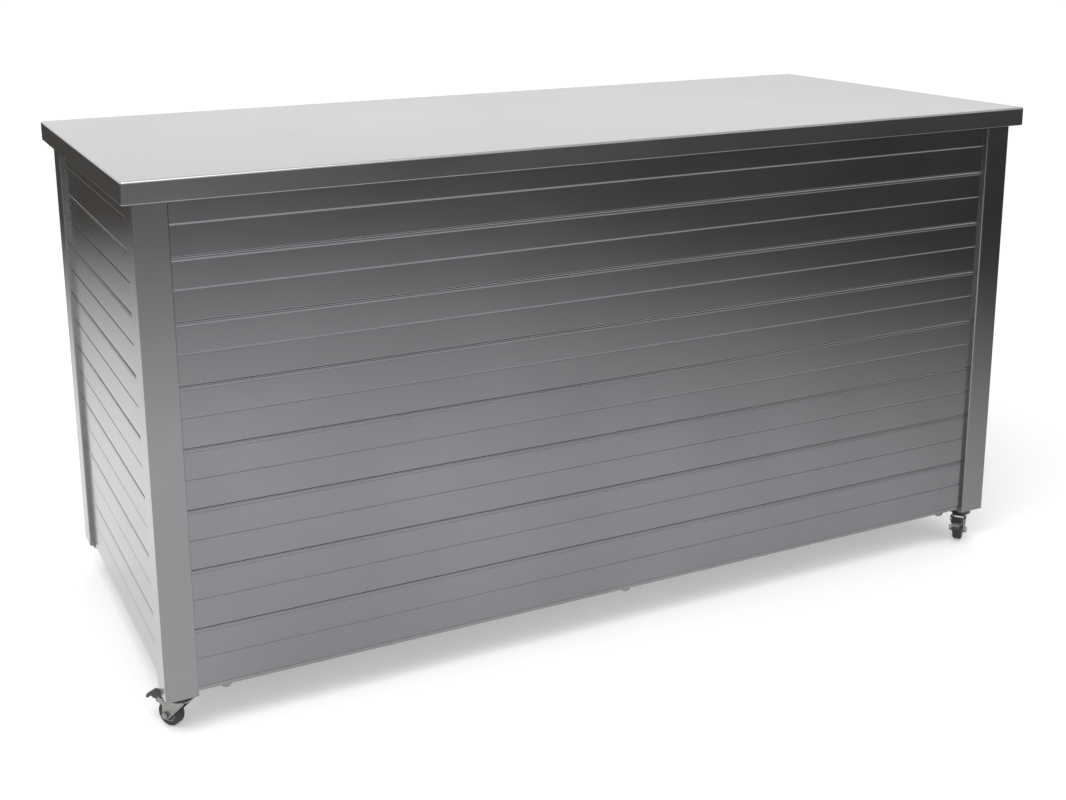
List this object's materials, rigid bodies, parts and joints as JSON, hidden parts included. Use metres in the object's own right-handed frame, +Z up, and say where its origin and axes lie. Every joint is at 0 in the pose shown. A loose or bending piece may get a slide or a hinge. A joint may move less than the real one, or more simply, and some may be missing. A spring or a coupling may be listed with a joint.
{
  "type": "deck storage box",
  "caption": "Rectangular metal deck storage box on casters: square corner posts, grooved plank walls, overhanging folded lid on rear hinges with gas struts.",
  "frame": {"origin": "centre of the box's footprint, on the ground under the wheels", "axes": "+Z up, +X along the length to the right seen from the front, front at -Y"},
  "size_m": [1.6, 0.6932, 0.833],
  "materials": {
    "coated_steel": "satin metallic grey powder coat",
    "coated_lid": "satin metallic grey powder coat",
    "galvanised_steel": "matt galvanised",
    "zinc_plate": "bright zinc plate",
    "seal_rubber": "matt",
    "strut_black": "semi-gloss",
    "polished_rod": "polished",
    "wheel_tread": "matt",
    "wheel_hub": "satin",
    "pedal_black": "satin"
  },
  "bodies": {
    "box": {"post_front_left": "coated_steel", "post_front_right": "coated_steel", "post_back_left": "coated_steel", "post_back_right": "coated_steel", "front_planks": "coated_steel", "back_planks": "coated_steel", "left_planks": "coated_steel", "right_planks": "coated_steel", "top_rail_front": "coated_steel", "top_rail_back": "coated_steel", "top_rail_left": "coated_steel", "top_rail_right": "coated_steel", "bottom_rail_front": "coated_steel", "bottom_rail_back": "coated_steel", "bottom_rail_left": "coated_steel", "bottom_rail_right": "coated_steel", "wall_battens": "galvanised_steel", "batten_bolts": "coated_steel", "floor_panel": "galvanised_steel", "floor_bearers": "galvanised_steel", "lid_seal": "seal_rubber", "hinge_body_leaves": "zinc_plate", "hinge_pins": "zinc_plate", "hinge_body_screws": "zinc_plate", "strut_body_brackets": "zinc_plate", "caster_plates": "zinc_plate", "caster_kingpins": "zinc_plate", "caster_screws": "zinc_plate"},
    "lid": {"lid_skin": "coated_lid", "lid_stiffeners": "galvanised_steel", "hinge_lid_leaves": "zinc_plate", "hinge_lid_screws": "zinc_plate", "strut_lid_brackets": "zinc_plate"},
    "strut_tube_left": {"strut_tube_left": "strut_black"},
    "strut_rod_left": {"strut_rod_left": "polished_rod"},
    "strut_tube_right": {"strut_tube_right": "strut_black"},
    "strut_rod_right": {"strut_rod_right": "polished_rod"},
    "caster_front_left": {"caster_fork_front_left": "zinc_plate", "caster_axle_front_left": "zinc_plate"},
    "wheel_front_left": {"caster_tyre_front_left": "wheel_tread", "caster_hub_front_left": "wheel_hub"},
    "brake_front_left": {"brake_lever_front_left": "zinc_plate", "brake_pin_front_left": "zinc_plate", "brake_pedal_front_left": "pedal_black"},
    "caster_front_right": {"caster_fork_front_right": "zinc_plate", "caster_axle_front_right": "zinc_plate"},
    "wheel_front_right": {"caster_tyre_front_right": "wheel_tread", "caster_hub_front_right": "wheel_hub"},
    "brake_front_right": {"brake_lever_front_right": "zinc_plate", "brake_pin_front_right": "zinc_plate", "brake_pedal_front_right": "pedal_black"},
    "caster_back_left": {"caster_fork_back_left": "zinc_plate", "caster_axle_back_left": "zinc_plate"},
    "wheel_back_left": {"caster_tyre_back_left": "wheel_tread", "caster_hub_back_left": "wheel_hub"},
    "caster_back_right": {"caster_fork_back_right": "zinc_plate", "caster_axle_back_right": "zinc_plate"},
    "wheel_back_right": {"caster_tyre_back_right": "wheel_tread", "caster_hub_back_right": "wheel_hub"}
  },
  "joints": [
    {"name": "lid_hinge", "type": "hinge", "parent": "box", "child": "lid", "pos_m": [0, 0.337, 0.806], "axis": [-1, 0, 0], "range_deg": [0, 80]},
    {"name": "strut_pivot_left", "type": "hinge", "parent": "box", "child": "strut_tube_left", "pos_m": [-0.725, 0.22, 0.57], "axis": [-1, 0, 0], "range_deg": [0, 17.64]},
    {"name": "strut_slide_left", "type": "slide", "parent": "strut_tube_left", "child": "strut_rod_left", "axis": [0, -0.0466, 0.9989], "range_m": [0, 0.1385]},
    {"name": "strut_pivot_right", "type": "hinge", "parent": "box", "child": "strut_tube_right", "pos_m": [0.725, 0.22, 0.57], "axis": [-1, 0, 0], "range_deg": [0, 17.64]},
    {"name": "strut_slide_right", "type": "slide", "parent": "strut_tube_right", "child": "strut_rod_right", "axis": [0, -0.0466, 0.9989], "range_m": [0, 0.1385]},
    {"name": "swivel_front_left", "type": "hinge", "parent": "box", "child": "caster_front_left", "pos_m": [-0.7568, -0.3015, 0.055], "axis": [0, 0, 1], "continuous": true},
    {"name": "wheel_spin_front_left", "type": "hinge", "parent": "caster_front_left", "child": "wheel_front_left", "pos_m": [-0.76798, -0.28492, 0.02], "axis": [-0.829, -0.5592, 0], "continuous": true},
    {"name": "brake_press_front_left", "type": "hinge", "parent": "caster_front_left", "child": "brake_front_left", "pos_m": [-0.76966, -0.28243, 0.042], "axis": [-0.829, -0.5592, 0], "range_deg": [0, 10]},
    {"name": "swivel_front_right", "type": "hinge", "parent": "box", "child": "caster_front_right", "pos_m": [0.7568, -0.3015, 0.055], "axis": [0, 0, 1], "continuous": true},
    {"name": "wheel_spin_front_right", "type": "hinge", "parent": "caster_front_right", "child": "wheel_front_right", "pos_m": [0.74126, -0.31409, 0.02], "axis": [0.6293, -0.7771, 0], "continuous": true},
    {"name": "brake_press_front_right", "type": "hinge", "parent": "caster_front_right", "child": "brake_front_right", "pos_m": [0.73893, -0.31597, 0.042], "axis": [0.6293, -0.7771, 0], "range_deg": [0, 10]},
    {"name": "swivel_back_left", "type": "hinge", "parent": "box", "child": "caster_back_left", "pos_m": [-0.7568, 0.3015, 0.055], "axis": [0, 0, 1], "continuous": true},
    {"name": "wheel_spin_back_left", "type": "hinge", "parent": "caster_back_left", "child": "wheel_back_left", "pos_m": [-0.73748, 0.30668, 0.02], "axis": [-0.2588, 0.9659, 0], "continuous": true},
    {"name": "swivel_back_right", "type": "hinge", "parent": "box", "child": "caster_back_right", "pos_m": [0.7568, 0.3015, 0.055], "axis": [0, 0, 1], "continuous": true},
    {"name": "wheel_spin_back_right", "type": "hinge", "parent": "caster_back_right", "child": "wheel_back_right", "pos_m": [0.73748, 0.30668, 0.02], "axis": [-0.2588, -0.9659, 0], "continuous": true}
  ],
  "couplings": [
    {"joint": "strut_pivot_left", "follows": "lid_hinge", "ratio": 0.21672},
    {"joint": "strut_slide_left", "follows": "lid_hinge", "m_per_rad": 0.098834},
    {"joint": "strut_pivot_right", "follows": "lid_hinge", "ratio": 0.21672},
    {"joint": "strut_slide_right", "follows": "lid_hinge", "m_per_rad": 0.098834}
  ]
}
